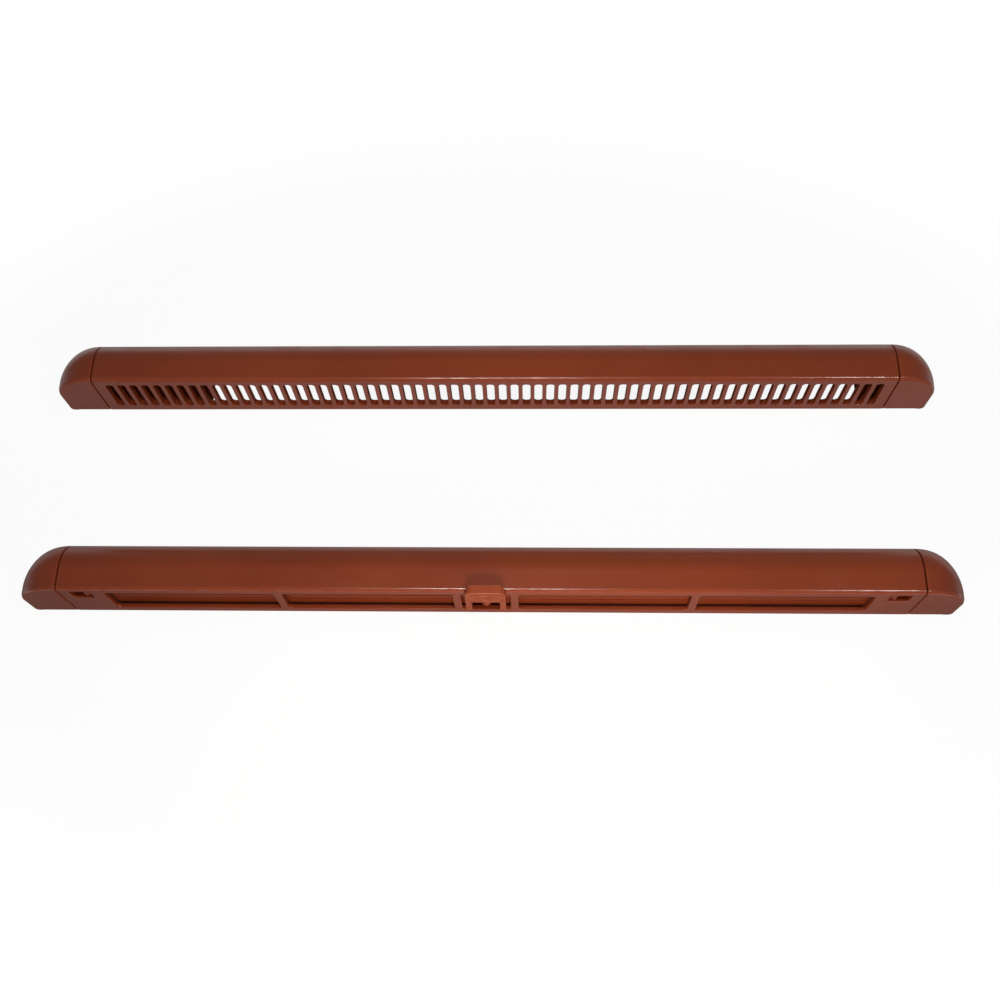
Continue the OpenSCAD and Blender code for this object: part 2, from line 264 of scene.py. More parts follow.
class SharedEffects:
    """Effects that more than one finish uses, each built once as a node group.

    Attributes:
        EVEN: Scale of coordinates that aren't stretched.
        ALONG: Scale that draws the streaks out along X.
        SMUDGE_SCALE: Scale of the smudges, per metre.
        TONE_RANGE: Noise that gives no cloud or streak, and a full one.
        SMUDGE_RANGE: Noise that gives no smudge, and a full one.
        BREAK_RANGE: Noise that gives the weakest edge mark, and a full one.
        LEAST_WEAR_AND_HIGHLIGHT: Share of the edge mark that is left where the edge is broken up.
    """

    EVEN = (1.0, 1.0, 1.0)
    ALONG = (0.06, 1.0, 1.0)
    SMUDGE_SCALE = 55.0
    TONE_RANGE = (0.3, 0.7)
    SMUDGE_RANGE = (0.42, 0.72)
    BREAK_RANGE = (0.35, 0.65)
    LEAST_WEAR_AND_HIGHLIGHT = 0.25

    def __init__(self) -> None:
        """Builds the groups."""
        self.grain = self._grain()
        self.tone = self._tone()
        self.rub = self._rub()

    def _grain(self) -> bpy.types.NodeTree:
        """Builds the fine spark-eroded grain of the mould, over a soft shrink ripple.

        Returns:
            The group, which puts out a height.
        """
        sizes = {"Grain Scale": 2600.0, "Ripple Scale": 90.0, "Ripple": 0.3}
        tree = new_group("mould_grain", sizes, ("Height",))
        pen = NodePen(tree)
        source, out = tree.nodes["In"], tree.nodes["Out"]
        place = pen.stretched(self.EVEN)
        fine = pen.noise(place, source.outputs["Grain Scale"], detail=2.0, roughness=0.6)
        slow = pen.noise(place, source.outputs["Ripple Scale"], detail=1.0)
        ripple = pen.math("MULTIPLY", slow, source.outputs["Ripple"])
        pen.join(pen.math("ADD", fine, ripple), out.inputs["Height"])
        return tree

    def _tone(self) -> bpy.types.NodeTree:
        """Builds cloudy tone, long flow streaks along the moulding and smudges.

        Returns:
            The group, which puts out three masks from 0 to 1.
        """
        sizes = {"Cloud Scale": 16.0, "Streak Scale": 220.0}
        tree = new_group("flow_tone", sizes, ("Cloud", "Streak", "Smudge"))
        pen = NodePen(tree)
        source, out = tree.nodes["In"], tree.nodes["Out"]
        place = pen.stretched(self.EVEN)
        along = pen.stretched(self.ALONG)
        cloud = pen.noise(place, source.outputs["Cloud Scale"], detail=3.0)
        streak = pen.noise(along, source.outputs["Streak Scale"], detail=2.0)
        smudge = pen.noise(place, self.SMUDGE_SCALE, detail=5.0, roughness=0.62)
        pen.join(pen.span(cloud, *self.TONE_RANGE), out.inputs["Cloud"])
        pen.join(pen.span(streak, *self.TONE_RANGE), out.inputs["Streak"])
        pen.join(pen.span(smudge, *self.SMUDGE_RANGE), out.inputs["Smudge"])
        return tree

    def _rub(self) -> bpy.types.NodeTree:
        """Builds the mask of the rounded edges, broken up along their length: wear and gloss, and
        on the catch a painted highlight.

        Returns:
            The group, which puts out a mask from 0 to 1.
        """
        tree = new_group("edge_wear_and_highlight_group", {"Break Scale": 240.0}, ("Rub",))
        pen = NodePen(tree)
        source, out = tree.nodes["In"], tree.nodes["Out"]
        place = pen.stretched(self.EVEN)
        layer = pen.add("ShaderNodeAttribute", attribute_name=WEAR_AND_HIGHLIGHT_LAYER)
        noise = pen.noise(place, source.outputs["Break Scale"], detail=3.0)
        broken = pen.span(noise, *self.BREAK_RANGE, self.LEAST_WEAR_AND_HIGHLIGHT)
        pen.join(pen.math("MULTIPLY", layer.outputs["Fac"], broken), out.inputs["Rub"])
        return tree


# Finishes


@dataclass(frozen=True)
class MouldedFinish:
    """A moulded finish: plastic or rubber, with grain, flow tone and edges that show wear and
    gloss, and on the catch a painted highlight.

    Attributes:
        name: Name of the material.
        colour: Main colour, linear.
        deep: Colour of the darker clouds.
        edge_wear_and_highlight_colour: Colour of the edges: wear, and on the catch a painted
            highlight.
        roughness: Roughness of the clean surface.
        smudged: Roughness where it is smudged.
        polished: Roughness of the edges under the edge mask.
        ior: Refractive index.
        grain_scale: Scale of the mould grain, per metre.
        grain_depth: Depth of the grain, in metres.
        grain_strength: Strength of the bump.
        streaked: How far the streaks bring back the main colour.
        edge_wear_and_highlight_share: Share of the edge colour on the edges: wear, and on the
            catch a painted highlight.
        gloss: Specular level of the surface.
        coat: Weight of the gloss that rubbing leaves on the edges.
    """

    name: str
    colour: Colour
    deep: Colour
    edge_wear_and_highlight_colour: Colour
    roughness: float = 0.29
    smudged: float = 0.37
    polished: float = 0.14
    ior: float = 1.42
    grain_scale: float = 2600.0
    grain_depth: float = 0.00002
    grain_strength: float = 0.35
    streaked: float = 0.35
    edge_wear_and_highlight_share: float = 0.15
    gloss: float = 0.5
    coat: float = 0.68

    def material(self, effects: SharedEffects) -> bpy.types.Material:
        """Builds the material.

        Args:
            effects: The shared node groups.

        Returns:
            The new material.
        """
        material = bpy.data.materials.new(self.name)
        material.use_nodes = True
        pen = NodePen(material.node_tree)
        shader = material.node_tree.nodes["Principled BSDF"]
        tone = pen.add("ShaderNodeGroup", node_tree=effects.tone)
        rub = pen.add("ShaderNodeGroup", node_tree=effects.rub).outputs["Rub"]
        grain = pen.add("ShaderNodeGroup", node_tree=effects.grain)
        grain.inputs["Grain Scale"].default_value = self.grain_scale

        colour, deep, edge_wear_and_highlight_colour = ((*tint, 1.0) for tint in (self.colour, self.deep, self.edge_wear_and_highlight_colour))
        streaked = pen.math("MULTIPLY", tone.outputs["Streak"], self.streaked)
        edge_wear_and_highlight_share = pen.math("MULTIPLY", rub, self.edge_wear_and_highlight_share)
        cloud = pen.mixed(tone.outputs["Cloud"], deep, colour)
        streak = pen.mixed(streaked, cloud, colour)
        # Edges take the edge colour through the edge mask: wear, and on the catch a painted
        # highlight.
        pen.join(pen.mixed(edge_wear_and_highlight_share, streak, edge_wear_and_highlight_colour), shader.inputs["Base Color"])

        smudged = pen.span(tone.outputs["Smudge"], 0.0, 1.0, self.roughness, self.smudged)
        polish = pen.math("MULTIPLY", rub, self.polished - self.roughness)
        pen.join(pen.math("ADD", smudged, polish), shader.inputs["Roughness"])

        pen.bump(grain.outputs["Height"], self.grain_strength, self.grain_depth,
                 shader.inputs["Normal"])
        shader.inputs["IOR"].default_value = self.ior
        shader.inputs["Specular IOR Level"].default_value = self.gloss
        shader.inputs["Coat Roughness"].default_value = self.polished
        if self.coat:
            pen.join(pen.span(rub, 0.0, 1.0, 0.0, self.coat), shader.inputs["Coat Weight"])
        return material


@dataclass(frozen=True)
class SteelFinish:
    """Drawn steel wire of the hinge pins.

    Attributes:
        name: Name of the material.
        colour: Colour of the metal.
        low: Roughness between the drawing lines.
        high: Roughness on the drawing lines.
        line_scale: Scale of the drawing lines, per metre.
        grain_depth: Depth of the grain, in metres.
        grain_strength: Strength of the bump.
    """

    name: str
    colour: Colour
    low: float = 0.24
    high: float = 0.42
    line_scale: float = 1800.0
    grain_depth: float = 0.00001
    grain_strength: float = 0.2

    def material(self, effects: SharedEffects) -> bpy.types.Material:
        """Builds the material.

        Args:
            effects: The shared node groups.

        Returns:
            The new material.
        """
        material = bpy.data.materials.new(self.name)
        material.use_nodes = True
        pen = NodePen(material.node_tree)
        shader = material.node_tree.nodes["Principled BSDF"]
        tone = pen.add("ShaderNodeGroup", node_tree=effects.tone)
        tone.inputs["Streak Scale"].default_value = self.line_scale
        grain = pen.add("ShaderNodeGroup", node_tree=effects.grain)
        lines = pen.span(tone.outputs["Streak"], 0.0, 1.0, self.low, self.high)
        pen.join(lines, shader.inputs["Roughness"])
        pen.bump(grain.outputs["Height"], self.grain_strength, self.grain_depth,
                 shader.inputs["Normal"])
        shader.inputs["Base Color"].default_value = (*self.colour, 1.0)
        shader.inputs["Metallic"].default_value = 1.0
        return material


class Finishes:
    """Every finish of the set, made into materials once."""

    def __init__(self) -> None:
        """Builds the materials."""
        effects = SharedEffects()
        brown = MouldedFinish(
            "brown_moulded_plastic",
            colour=(0.218, 0.038, 0.0115), deep=(0.186, 0.031, 0.0095), edge_wear_and_highlight_colour=(0.29, 0.070, 0.030))
        # On the catch the edge colour is much lighter and covers most of each rounded edge: a
        # painted highlight along its edges and ridges, over a little wear.
        catch = MouldedFinish(
            "catch_moulded_plastic",
            colour=(0.290, 0.058, 0.0200), deep=(0.250, 0.049, 0.0165), edge_wear_and_highlight_colour=(0.44, 0.140, 0.070),
            roughness=0.28, polished=0.19, edge_wear_and_highlight_share=0.8, gloss=0.22, coat=0.57)
        rubber = MouldedFinish(
            "seal_soft_rubber",
            colour=(0.066, 0.022, 0.013), deep=(0.050, 0.017, 0.010), edge_wear_and_highlight_colour=(0.090, 0.036, 0.024),
            roughness=0.62, smudged=0.74, polished=0.55, grain_strength=0.6, coat=0.0)
        steel = SteelFinish("drawn_steel_wire", colour=(0.62, 0.61, 0.60))
        self.by_slot = {
            Slot.BROWN: brown.material(effects),
            Slot.CATCH: catch.material(effects),
            Slot.RUBBER: rubber.material(effects),
            Slot.STEEL: steel.material(effects),
        }


# Mesh work


def soften(bm: BMesh, width: float, segments: int = 2, edge_wear_and_highlight_share: float = 1.0,
           chosen: Callable[[Vector], bool] = lambda middle: True) -> None:
    """Rounds the sharp outer edges and marks the rounding for the edge mask of wear and gloss,
    which on the catch is also a painted highlight.

    Args:
        bm: Mesh to work on.
        width: Width of the rounding.
        segments: Steps of the rounding.
        edge_wear_and_highlight_share: Strength of the edge mark on the rounding, from 0 to 1.
        chosen: Tells by its middle whether an edge is rounded.
    """
    layer = bm.faces.layers.float.get(WEAR_AND_HIGHLIGHT_LAYER) or bm.faces.layers.float.new(WEAR_AND_HIGHLIGHT_LAYER)
    edges = [
        edge for edge in bm.edges
        if edge.is_manifold and edge.calc_face_angle_signed() > SHARP_ANGLE
        and chosen((edge.verts[0].co + edge.verts[1].co) / 2)
    ]
    made = bmesh.ops.bevel(
        bm, geom=edges, offset=width, offset_type="OFFSET", affect="EDGES",
        segments=segments, profile=0.5, material=-1, clamp_overlap=False, loop_slide=True)
    for face in made["faces"]:
        face[layer] = edge_wear_and_highlight_share


def merged_copy(node: str) -> BMesh:
    """Copies a solid of the frame, with its loose triangles merged into whole faces.

    Args:
        node: Name of the solid.

    Returns:
        The mesh.
    """
    bm = bmesh.new()
    bm.from_mesh(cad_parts[node].data)
    bmesh.ops.remove_doubles(bm, verts=bm.verts, dist=MERGE)
    bmesh.ops.dissolve_limit(
        bm, angle_limit=FLAT_ANGLE, use_dissolve_boundaries=False, verts=bm.verts, edges=bm.edges)
    return bm


def place_piece(bm: BMesh, name: str, node: str, body: Body, slot: Slot,
                finishes: Finishes) -> None:
    """Turns a mesh into a dressed piece that stands for a solid of the frame.

    Args:
        bm: Mesh of the piece, which is freed.
        name: Name of the piece.
        node: Solid that it replaces.
        body: Body that it rides on.
        slot: Material slot of its finish.
        finishes: The materials.
    """
    bmesh.ops.dissolve_degenerate(bm, dist=MERGE, edges=bm.edges)
    mesh = bpy.data.meshes.new(name)
    bm.to_mesh(mesh)
    bm.free()
    mesh.materials.append(finishes.by_slot[slot])
    mesh.shade_smooth()
    mesh.set_sharp_from_angle(angle=SMOOTH_ANGLE)
    piece = bpy.data.objects.new(name, mesh)
    bpy.context.scene.collection.objects.link(piece)
    weights = piece.modifiers.new("even_normals", "WEIGHTED_NORMAL")
    weights.keep_sharp = True
    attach(piece, body.value)
    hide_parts(node)
    LOG.info("%s: %d faces, on %s", name, len(mesh.polygons), body.value)


def add_box(bm: BMesh, low: Vector, high: Vector) -> None:
    """Adds a box between two corners.

    Args:
        bm: Mesh to add to.
        low: Lowest corner.
        high: Highest corner.
    """
    matrix = Matrix.Translation((low + high) / 2) @ Matrix.Diagonal((*(high - low), 1.0))
    bmesh.ops.create_cube(bm, size=1.0, matrix=matrix)


# Sub-assemblies


@dataclass(frozen=True)
class Section:
    """The section that both units share.

    Attributes:
        height: Height on the window.
        depth: Depth out from the window.
        wall: Wall thickness.
        front: Radius of the curved front.
        nose: Radius of the edge under the front.
        half_body: Half the length of a body without its caps.
        end_edge: Rounding of the ends that meet the caps.
        end_steps: Steps of that rounding.
        end_near: Distance from an end within which an edge belongs to it.
    """

    height: float = 26 * MM
    depth: float = 24 * MM
    wall: float = 2 * MM
    front: float = 16.5 * MM
    nose: float = 1.7 * MM
    half_body: float = 181 * MM
    end_edge: float = 0.22 * MM
    end_steps: int = 3
    end_near: float = 0.6 * MM

    def outline(self, nose_steps: int, front_steps: int) -> list[Span]:
        """Lists the outline as height and depth, from the back of the underside round the front.

        Args:
            nose_steps: Steps of the nose.
            front_steps: Steps of the curved front.

        Returns:
            Points of the outline.
        """
        points = [(0.0, 0.0)]
        for step in range(nose_steps + 1):
            turn = math.pi / 2 * step / nose_steps
            points.append((
                self.nose * (1 - math.cos(turn)),
                self.depth - self.nose * (1 - math.sin(turn))))
        for step in range(front_steps + 1):
            turn = math.pi / 2 * step / front_steps
            points.append((
                self.height - self.front + self.front * math.sin(turn),
                self.depth - self.front + self.front * math.cos(turn)))
        points.append((self.height, 0.0))
        return points

    def at_end(self, middle: Vector) -> bool:
        """Tells whether an edge lies round an end of the body."""
        return abs(abs(middle.x) - self.half_body) < self.end_near


def polish_nose(bm: BMesh, underside: float, section: Section) -> None:
    """Marks the edge between front and underside for the edge mask of wear and gloss.

    Args:
        bm: Mesh of a body or cap.
        underside: Place of the unit's underside along Y.
        section: Section of the unit.
    """
    straight_down, least_tilt = -0.98, 0.05
    layer = bm.faces.layers.float[WEAR_AND_HIGHLIGHT_LAYER]
    for face in bm.faces:
        middle = face.calc_center_median()
        turned = straight_down < face.normal.y < -least_tilt and face.normal.z > least_tilt
        if turned and middle.y < underside + section.nose and middle.z > section.depth / 2:
            face[layer] = 1.0


@dataclass(frozen=True)
class CapFixings:
    """What holds a cap: two tongues, a lip in the joint and, on the vent, a hook.

    Lengths run along X from the end of the body, positive into the cap. Heights are above the
    unit's underside, and depths are out from the window.

    Attributes:
        tongue: Lengths between which the tongues lie.
        thick: Thickness of the tongues.
        play: Play between a tongue and the wall.
        top_depths: Depths between which the upper tongue lies.
        front_heights: Heights between which the front tongue lies.
        lip: Lengths between which the lip lies.
        lip_heights: Heights between which the lip lies.
        lip_depth: Depth of the lip.
        hook_start: Length at which the hook's arm starts.
        hook_crest: Lengths between which the hook stands out in full.
        hook_drop: How far the hook stands out.
        hook_depths: Depths between which the hook lies.
        edge: Rounding of the edges.
    """

    tongue: Span = (-12 * MM, 4 * MM)
    thick: float = 1.5 * MM
    play: float = 0.1 * MM
    top_depths: Span = (3.3 * MM, 7.5 * MM)
    front_heights: Span = (5.7 * MM, 9.5 * MM)
    lip: Span = (0.05 * MM, 1.3 * MM)
    lip_heights: Span = (0.1 * MM, 1.7 * MM)
    lip_depth: float = 1.4 * MM
    hook_start: float = -13.1 * MM
    hook_crest: Span = (-10.7 * MM, -10.1 * MM)
    hook_drop: float = 1.5 * MM
    hook_depths: Span = (15.3 * MM, 21.0 * MM)
    edge: float = 0.2 * MM

    def build(self, section: Section, underside: float, end: End, hooked: bool) -> BMesh:
        """Builds the fixings of one cap.

        Args:
            section: Section of the unit.
            underside: Place of the unit's underside along Y.
            end: End that the cap closes.
            hooked: Whether there is a hook.

        Returns:
            The mesh.
        """
        bm = bmesh.new()
        top = section.height - section.wall - self.play
        front = section.depth - section.wall - self.play
        boxes = [
            (self.tongue, (top - self.thick, top), self.top_depths),
            (self.tongue, self.front_heights, (front - self.thick, front)),
            (self.lip, self.lip_heights, (0.0, self.lip_depth)),
        ]
        for lengths, heights, depths in boxes:
            places = sorted((section.half_body + length) * end.value for length in lengths)
            low, high = (
                Vector((place, underside + height, depth))
                for place, height, depth in zip(places, heights, depths))
            add_box(bm, low, high)
        if hooked:
            self._add_hook(bm, section, underside, end)
        bmesh.ops.recalc_face_normals(bm, faces=bm.faces[:])
        soften(bm, self.edge)
        return bm

    def _add_hook(self, bm: BMesh, section: Section, underside: float, end: End) -> None:
        """Adds the arm with the sloped hook behind the latch window.

        Args:
            bm: Mesh of the fixings.
            section: Section of the unit.
            underside: Place of the unit's underside along Y.
            end: End that the cap closes.
        """
        low = section.wall + self.play
        high = low + self.thick
        crest = low - self.hook_drop
        slope_end, hook_end = self.hook_crest
        arm_end = self.tongue[1]
        side = [
            (self.hook_start, high), (self.hook_start, low), (slope_end, crest),
            (hook_end, crest), (hook_end, low), (arm_end, low), (arm_end, high),
        ]
        rear, front = self.hook_depths
        face = bm.faces.new([
            bm.verts.new(((section.half_body + length) * end.value, underside + up, rear))
            for length, up in side])
        made = bmesh.ops.extrude_face_region(bm, geom=[face])["geom"]
        moved = [item for item in made if isinstance(item, BMVert)]
        bmesh.ops.translate(bm, vec=(0.0, 0.0, front - rear), verts=moved)


@dataclass(frozen=True)
class EndCap:
    """A domed end cap, drawn out ring by ring from the section.

    Attributes:
        node: Solid that it stands for.
        underside: Place of the unit's underside along Y.
        end: End that the cap closes.
        hooked: Whether the cap has the hook that drops into the latch window.
        section: Section of the unit.
        fixings: What holds the cap.
        length: Length that the cap adds.
        seam: Open joint against the body.
        fullness: Exponent of the domed outline, seen from the front.
        corner: Exponent of the front corner, seen from below.
        tip_height: Share of the height left at the tip.
        tip_depth: Share of the depth left at the tip.
        tip_round: Rounding of the back corner at the tip.
        back_out: Reach of the back corner out from the window, in roundings.
        back_in: Reach of the back corner in from the tip, in roundings.
        nose_share: Most that the nose takes of the upright part of the front.
        nose_steps: Steps of the nose.
        front_steps: Steps of the curved front.
        rings: Number of rings.
        edge: Rounding of the edges.
    """

    node: str
    underside: float
    end: End
    hooked: bool
    section: Section = Section()
    fixings: CapFixings = CapFixings()
    length: float = 19 * MM
    seam: float = 0.7 * MM
    fullness: float = 2.4
    corner: float = 1.9
    tip_height: float = 0.14
    tip_depth: float = 0.56
    tip_round: float = 1.8 * MM
    back_out: float = 1.2
    back_in: float = 2.0
    nose_share: float = 0.8
    nose_steps: int = 5
    front_steps: int = 28
    rings: int = 22
    edge: float = 0.28 * MM

    @property
    def tip(self) -> float:
        """Distance of the tip from the middle of the unit."""
        return self.section.half_body + self.length

    def left_at(self, share: float) -> Span:
        """Gives how much of the height and depth is left at a share of the cap's length.

        Args:
            share: Share of the cap's length, from the seam.

        Returns:
            Shares of the section's height and depth.
        """
        up = max(0.0, 1 - share ** self.fullness) ** (1 / self.fullness)
        out = max(0.0, 1 - share ** self.corner) ** (1 / self.corner)
        return (self.tip_height + (1 - self.tip_height) * up,
                self.tip_depth + (1 - self.tip_depth) * out)

    def back_at(self, place: float) -> float:
        """Gives how far the rounded back corner stands off the window.

        Args:
            place: Place along X.

        Returns:
            Distance from the window.
        """
        past = min(1.0, max(0.0, 1 - (self.tip - abs(place)) / self.tip_round))
        return self.tip_round * (1 - math.sqrt(1 - past * past))

    def build(self) -> BMesh:
        """Builds the cap's shell and what holds it.

        Returns:
            The mesh.
        """
        bm = bmesh.new()
        self._draw_rings(bm)
        self._fill_nose(bm)
        self._face_outwards(bm)
        bmesh.ops.solidify(bm, geom=bm.faces[:], thickness=self.section.wall)
        self._round_back(bm)
        soften(bm, self.edge, edge_wear_and_highlight_share=SHELTERED, chosen=self._at_seam)
        soften(bm, self.edge, chosen=self._off_back_corner)
        self._round_back(bm)
        polish_nose(bm, self.underside, self.section)
        self._add_fixings(bm)
        return bm

    def dress(self, finishes: Finishes) -> None:
        """Builds the cap and puts it in the scene.

        Args:
            finishes: The materials.
        """
        name = f"{self.node}_dome"
        place_piece(self.build(), name, self.node, Body.FRAME_SIDE, Slot.BROWN, finishes)

    def _draw_rings(self, bm: BMesh) -> None:
        """Draws the section out to the tip, ring by ring, and closes the tip.

        Args:
            bm: Empty mesh to draw in.
        """
        start = (self.section.half_body + self.seam) * self.end.value
        reach = (self.length - self.seam) * self.end.value
        origin = Matrix.Translation((-start, -self.underside, 0.0))
        outline = self.section.outline(self.nose_steps, self.front_steps)
        ring = [bm.verts.new((start, self.underside + up, out)) for up, out in outline]
        edges = [bm.edges.new(pair) for pair in zip(ring, ring[1:])]
        last_up, last_out, last_share = 1.0, 1.0, 0.0
        for step in range(1, self.rings + 1):
            share = math.sin(math.pi / 2 * step / self.rings)
            up, out = self.left_at(share)
            made = bmesh.ops.extrude_edge_only(bm, edges=edges)["geom"]
            ring = [item for item in made if isinstance(item, BMVert)]
            edges = [item for item in made if isinstance(item, BMEdge)]
            shrink = (1.0, up / last_up, out / last_out)
            bmesh.ops.scale(bm, vec=shrink, space=origin, verts=ring)
            bmesh.ops.translate(bm, vec=(reach * (share - last_share), 0.0, 0.0), verts=ring)
            last_up, last_out, last_share = up, out, share
        bmesh.ops.contextual_create(bm, geom=ring)

    def _fill_nose(self, bm: BMesh) -> None:
        """Keeps the nose full up to the tip.

        Args:
            bm: Mesh of the rings.
        """
        section = self.section
        reach = self.length - self.seam
        for vert in bm.verts:
            share = min(1.0, (abs(vert.co.x) - section.half_body - self.seam) / reach)
            up_left, out_left = self.left_at(share)
            up, out = (vert.co.y - self.underside) / up_left, vert.co.z / out_left
            if up < section.nose + MERGE and out > section.depth - section.nose - MERGE:
                turn = math.asin(max(0.0, min(1.0, 1 - (section.depth - out) / section.nose)))
                upright = (section.height - section.front) * up_left
                nose = min(section.nose, self.nose_share * upright)
                vert.co.y = self.underside + nose * (1 - math.cos(turn))
                vert.co.z = section.depth * out_left - nose * (1 - math.sin(turn))

    @staticmethod
    def _face_outwards(bm: BMesh) -> None:
        """Turns the open shell's faces outwards.

        Args:
            bm: Mesh of the rings.
        """
        bmesh.ops.recalc_face_normals(bm, faces=bm.faces[:])
        top = max(bm.faces, key=lambda face: face.calc_center_median().y)
        if top.normal.y < 0:
            bmesh.ops.reverse_faces(bm, faces=bm.faces[:])

    def _round_back(self, bm: BMesh) -> None:
        """Rounds the back corner at the tip, and keeps the shell off the window.

        Args:
            bm: Mesh of the shell.
        """
        for vert in bm.verts:
            vert.co.x = max(-self.tip, min(self.tip, vert.co.x))
            vert.co.z = max(self.back_at(vert.co.x), vert.co.z)

    def _at_seam(self, middle: Vector) -> bool:
        """Tells whether an edge lies along the seam."""
        return abs(middle.x) < self.section.half_body + self.seam + self.edge

    def _off_back_corner(self, middle: Vector) -> bool:
        """Tells whether an edge lies clear of the seam and of the rounded back corner.

        Args:
            middle: Middle of the edge.

        Returns:
            True if it does.
        """
        out = middle.z > self.back_out * self.tip_round
        inwards = abs(middle.x) < self.tip - self.back_in * self.tip_round
        return (out or inwards) and not self._at_seam(middle)

    def _add_fixings(self, bm: BMesh) -> None:
        """Adds the fixings to the shell.

        Args:
            bm: Mesh of the shell.
        """
        fixings = self.fixings.build(self.section, self.underside, self.end, self.hooked)
        spare = bpy.data.meshes.new("fixings")
        fixings.to_mesh(spare)
        fixings.free()
        bm.from_mesh(spare)
        bpy.data.meshes.remove(spare)


@dataclass(frozen=True)
class Unit:
    """A moulded body with a domed cap at each end.

    Attributes:
        node: Solid of the body.
        piece: Name of the body's piece.
        caps: Name that its caps' solids start with.
        edge: Rounding of the openings and other moulded edges.
        hooked: Whether its caps have hooks.
        section: Section of the unit.
    """

    node: str
    piece: str
    caps: str
    edge: float
    hooked: bool
    section: Section = Section()

    @property
    def underside(self) -> float:
        """Place of the unit's underside along Y."""
        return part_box(self.node)[0].y

    def build(self) -> BMesh:
        """Builds the body, with its two ends rounded more than its other edges.

        Returns:
            The mesh.
        """
        section = self.section
        bm = merged_copy(self.node)
        soften(bm, section.end_edge, section.end_steps, SHELTERED, section.at_end)
        soften(bm, self.edge, chosen=lambda middle: not section.at_end(middle))
        polish_nose(bm, self.underside, section)
        return bm

    def dress(self, finishes: Finishes) -> None:
        """Puts the body and its caps in the scene.

        Args:
            finishes: The materials.
        """
        place_piece(self.build(), self.piece, self.node, Body.FRAME_SIDE, Slot.BROWN, finishes)
        for end in End:
            node = f"{self.caps}_{end.name.lower()}"
            EndCap(node, self.underside, end, self.hooked, self.section).dress(finishes)


@dataclass(frozen=True)
class Canopy(Unit):
    """The outer canopy with its slotted underside."""

    node: str = "canopy_shell"
    piece: str = "canopy_grille_shell"
    caps: str = "canopy_end_cap"
    edge: float = 0.12 * MM
    hooked: bool = False


@dataclass(frozen=True)
class Vent(Unit):
    """The inner vent with its windows, without the shutter."""

    node: str = "vent_housing"
    piece: str = "vent_window_housing"
    caps: str = "vent_end_cap"
    edge: float = 0.18 * MM
    hooked: bool = True


@dataclass(frozen=True)
class Shutter:
    """The shutter: flap, seals, hinge pins, thumb catch and its rivet.

    Attributes:
        flap_edge: Rounding of the flap.
        seal_edge: Rounding of the seals.
        catch_edge: Rounding of the catch.
        pin_edge: Rounding of the pins' ends.
        rivet_edge: Rounding of the rivet.
    """

    flap_edge: float = 0.1 * MM
    seal_edge: float = 0.25 * MM
    catch_edge: float = 0.16 * MM
    pin_edge: float = 0.2 * MM
    rivet_edge: float = 0.1 * MM

    @staticmethod
    def build(node: str, edge: float) -> BMesh:
        """Builds one piece of the shutter with rounded edges.

        The catch is turned over along X, so that its ridges run back to the right.

        Args:
            node: Solid that the piece stands for.
            edge: Rounding of its edges.

        Returns:
            The mesh.
        """
        bm = merged_copy(node)
        if node == "thumb_catch":
            bmesh.ops.scale(bm, vec=(-1.0, 1.0, 1.0), verts=bm.verts)
            bmesh.ops.reverse_faces(bm, faces=bm.faces[:])
        soften(bm, edge)
        return bm

    def dress(self, finishes: Finishes) -> None:
        """Puts the pieces of the shutter in the scene.

        Args:
            finishes: The materials.
        """
        parts = [
            ("shutter_flap", self.flap_edge, Slot.BROWN),
            ("seal_left_outer", self.seal_edge, Slot.RUBBER),
            ("seal_left_inner", self.seal_edge, Slot.RUBBER),
            ("seal_right_inner", self.seal_edge, Slot.RUBBER),
            ("seal_right_outer", self.seal_edge, Slot.RUBBER),
            ("hinge_pin_left", self.pin_edge, Slot.STEEL),
            ("hinge_pin_right", self.pin_edge, Slot.STEEL),
            ("thumb_catch", self.catch_edge, Slot.CATCH),
            ("catch_rivet", self.rivet_edge, Slot.CATCH),
        ]
        for node, edge, slot in parts:
            name = f"{node}_moulded"
            place_piece(self.build(node, edge), name, node, Body.SHUTTER, slot, finishes)


# Stage


@dataclass(frozen=True)
class Lamp:
    """A soft lamp that the camera doesn't see.

    Attributes:
        name: Name of the lamp.
        place: Where it hangs.
        aim: Point that it faces.
        size: Width and height of the lamp.
        power: Power, in watts.
        glossy: Whether it shows as a highlight.
        tint: Colour of its light.
    """

    name: str
    place: Point
    aim: Point
    size: Span
    power: float
    glossy: bool
    tint: Colour = WHITE

    def hang(self) -> None:
        """Puts the lamp in the scene."""
        data = bpy.data.lights.new(self.name, "AREA")
        data.shape = "RECTANGLE"
        data.size, data.size_y = self.size
        data.energy = self.power
        data.color = self.tint
        lamp = bpy.data.objects.new(self.name, data)
        lamp.location = self.place
        facing = Vector(self.aim) - Vector(self.place)
        lamp.rotation_euler = facing.to_track_quat("-Z", "Y").to_euler()
        lamp.visible_camera = False
        lamp.visible_glossy = self.glossy
        bpy.context.scene.collection.objects.link(lamp)


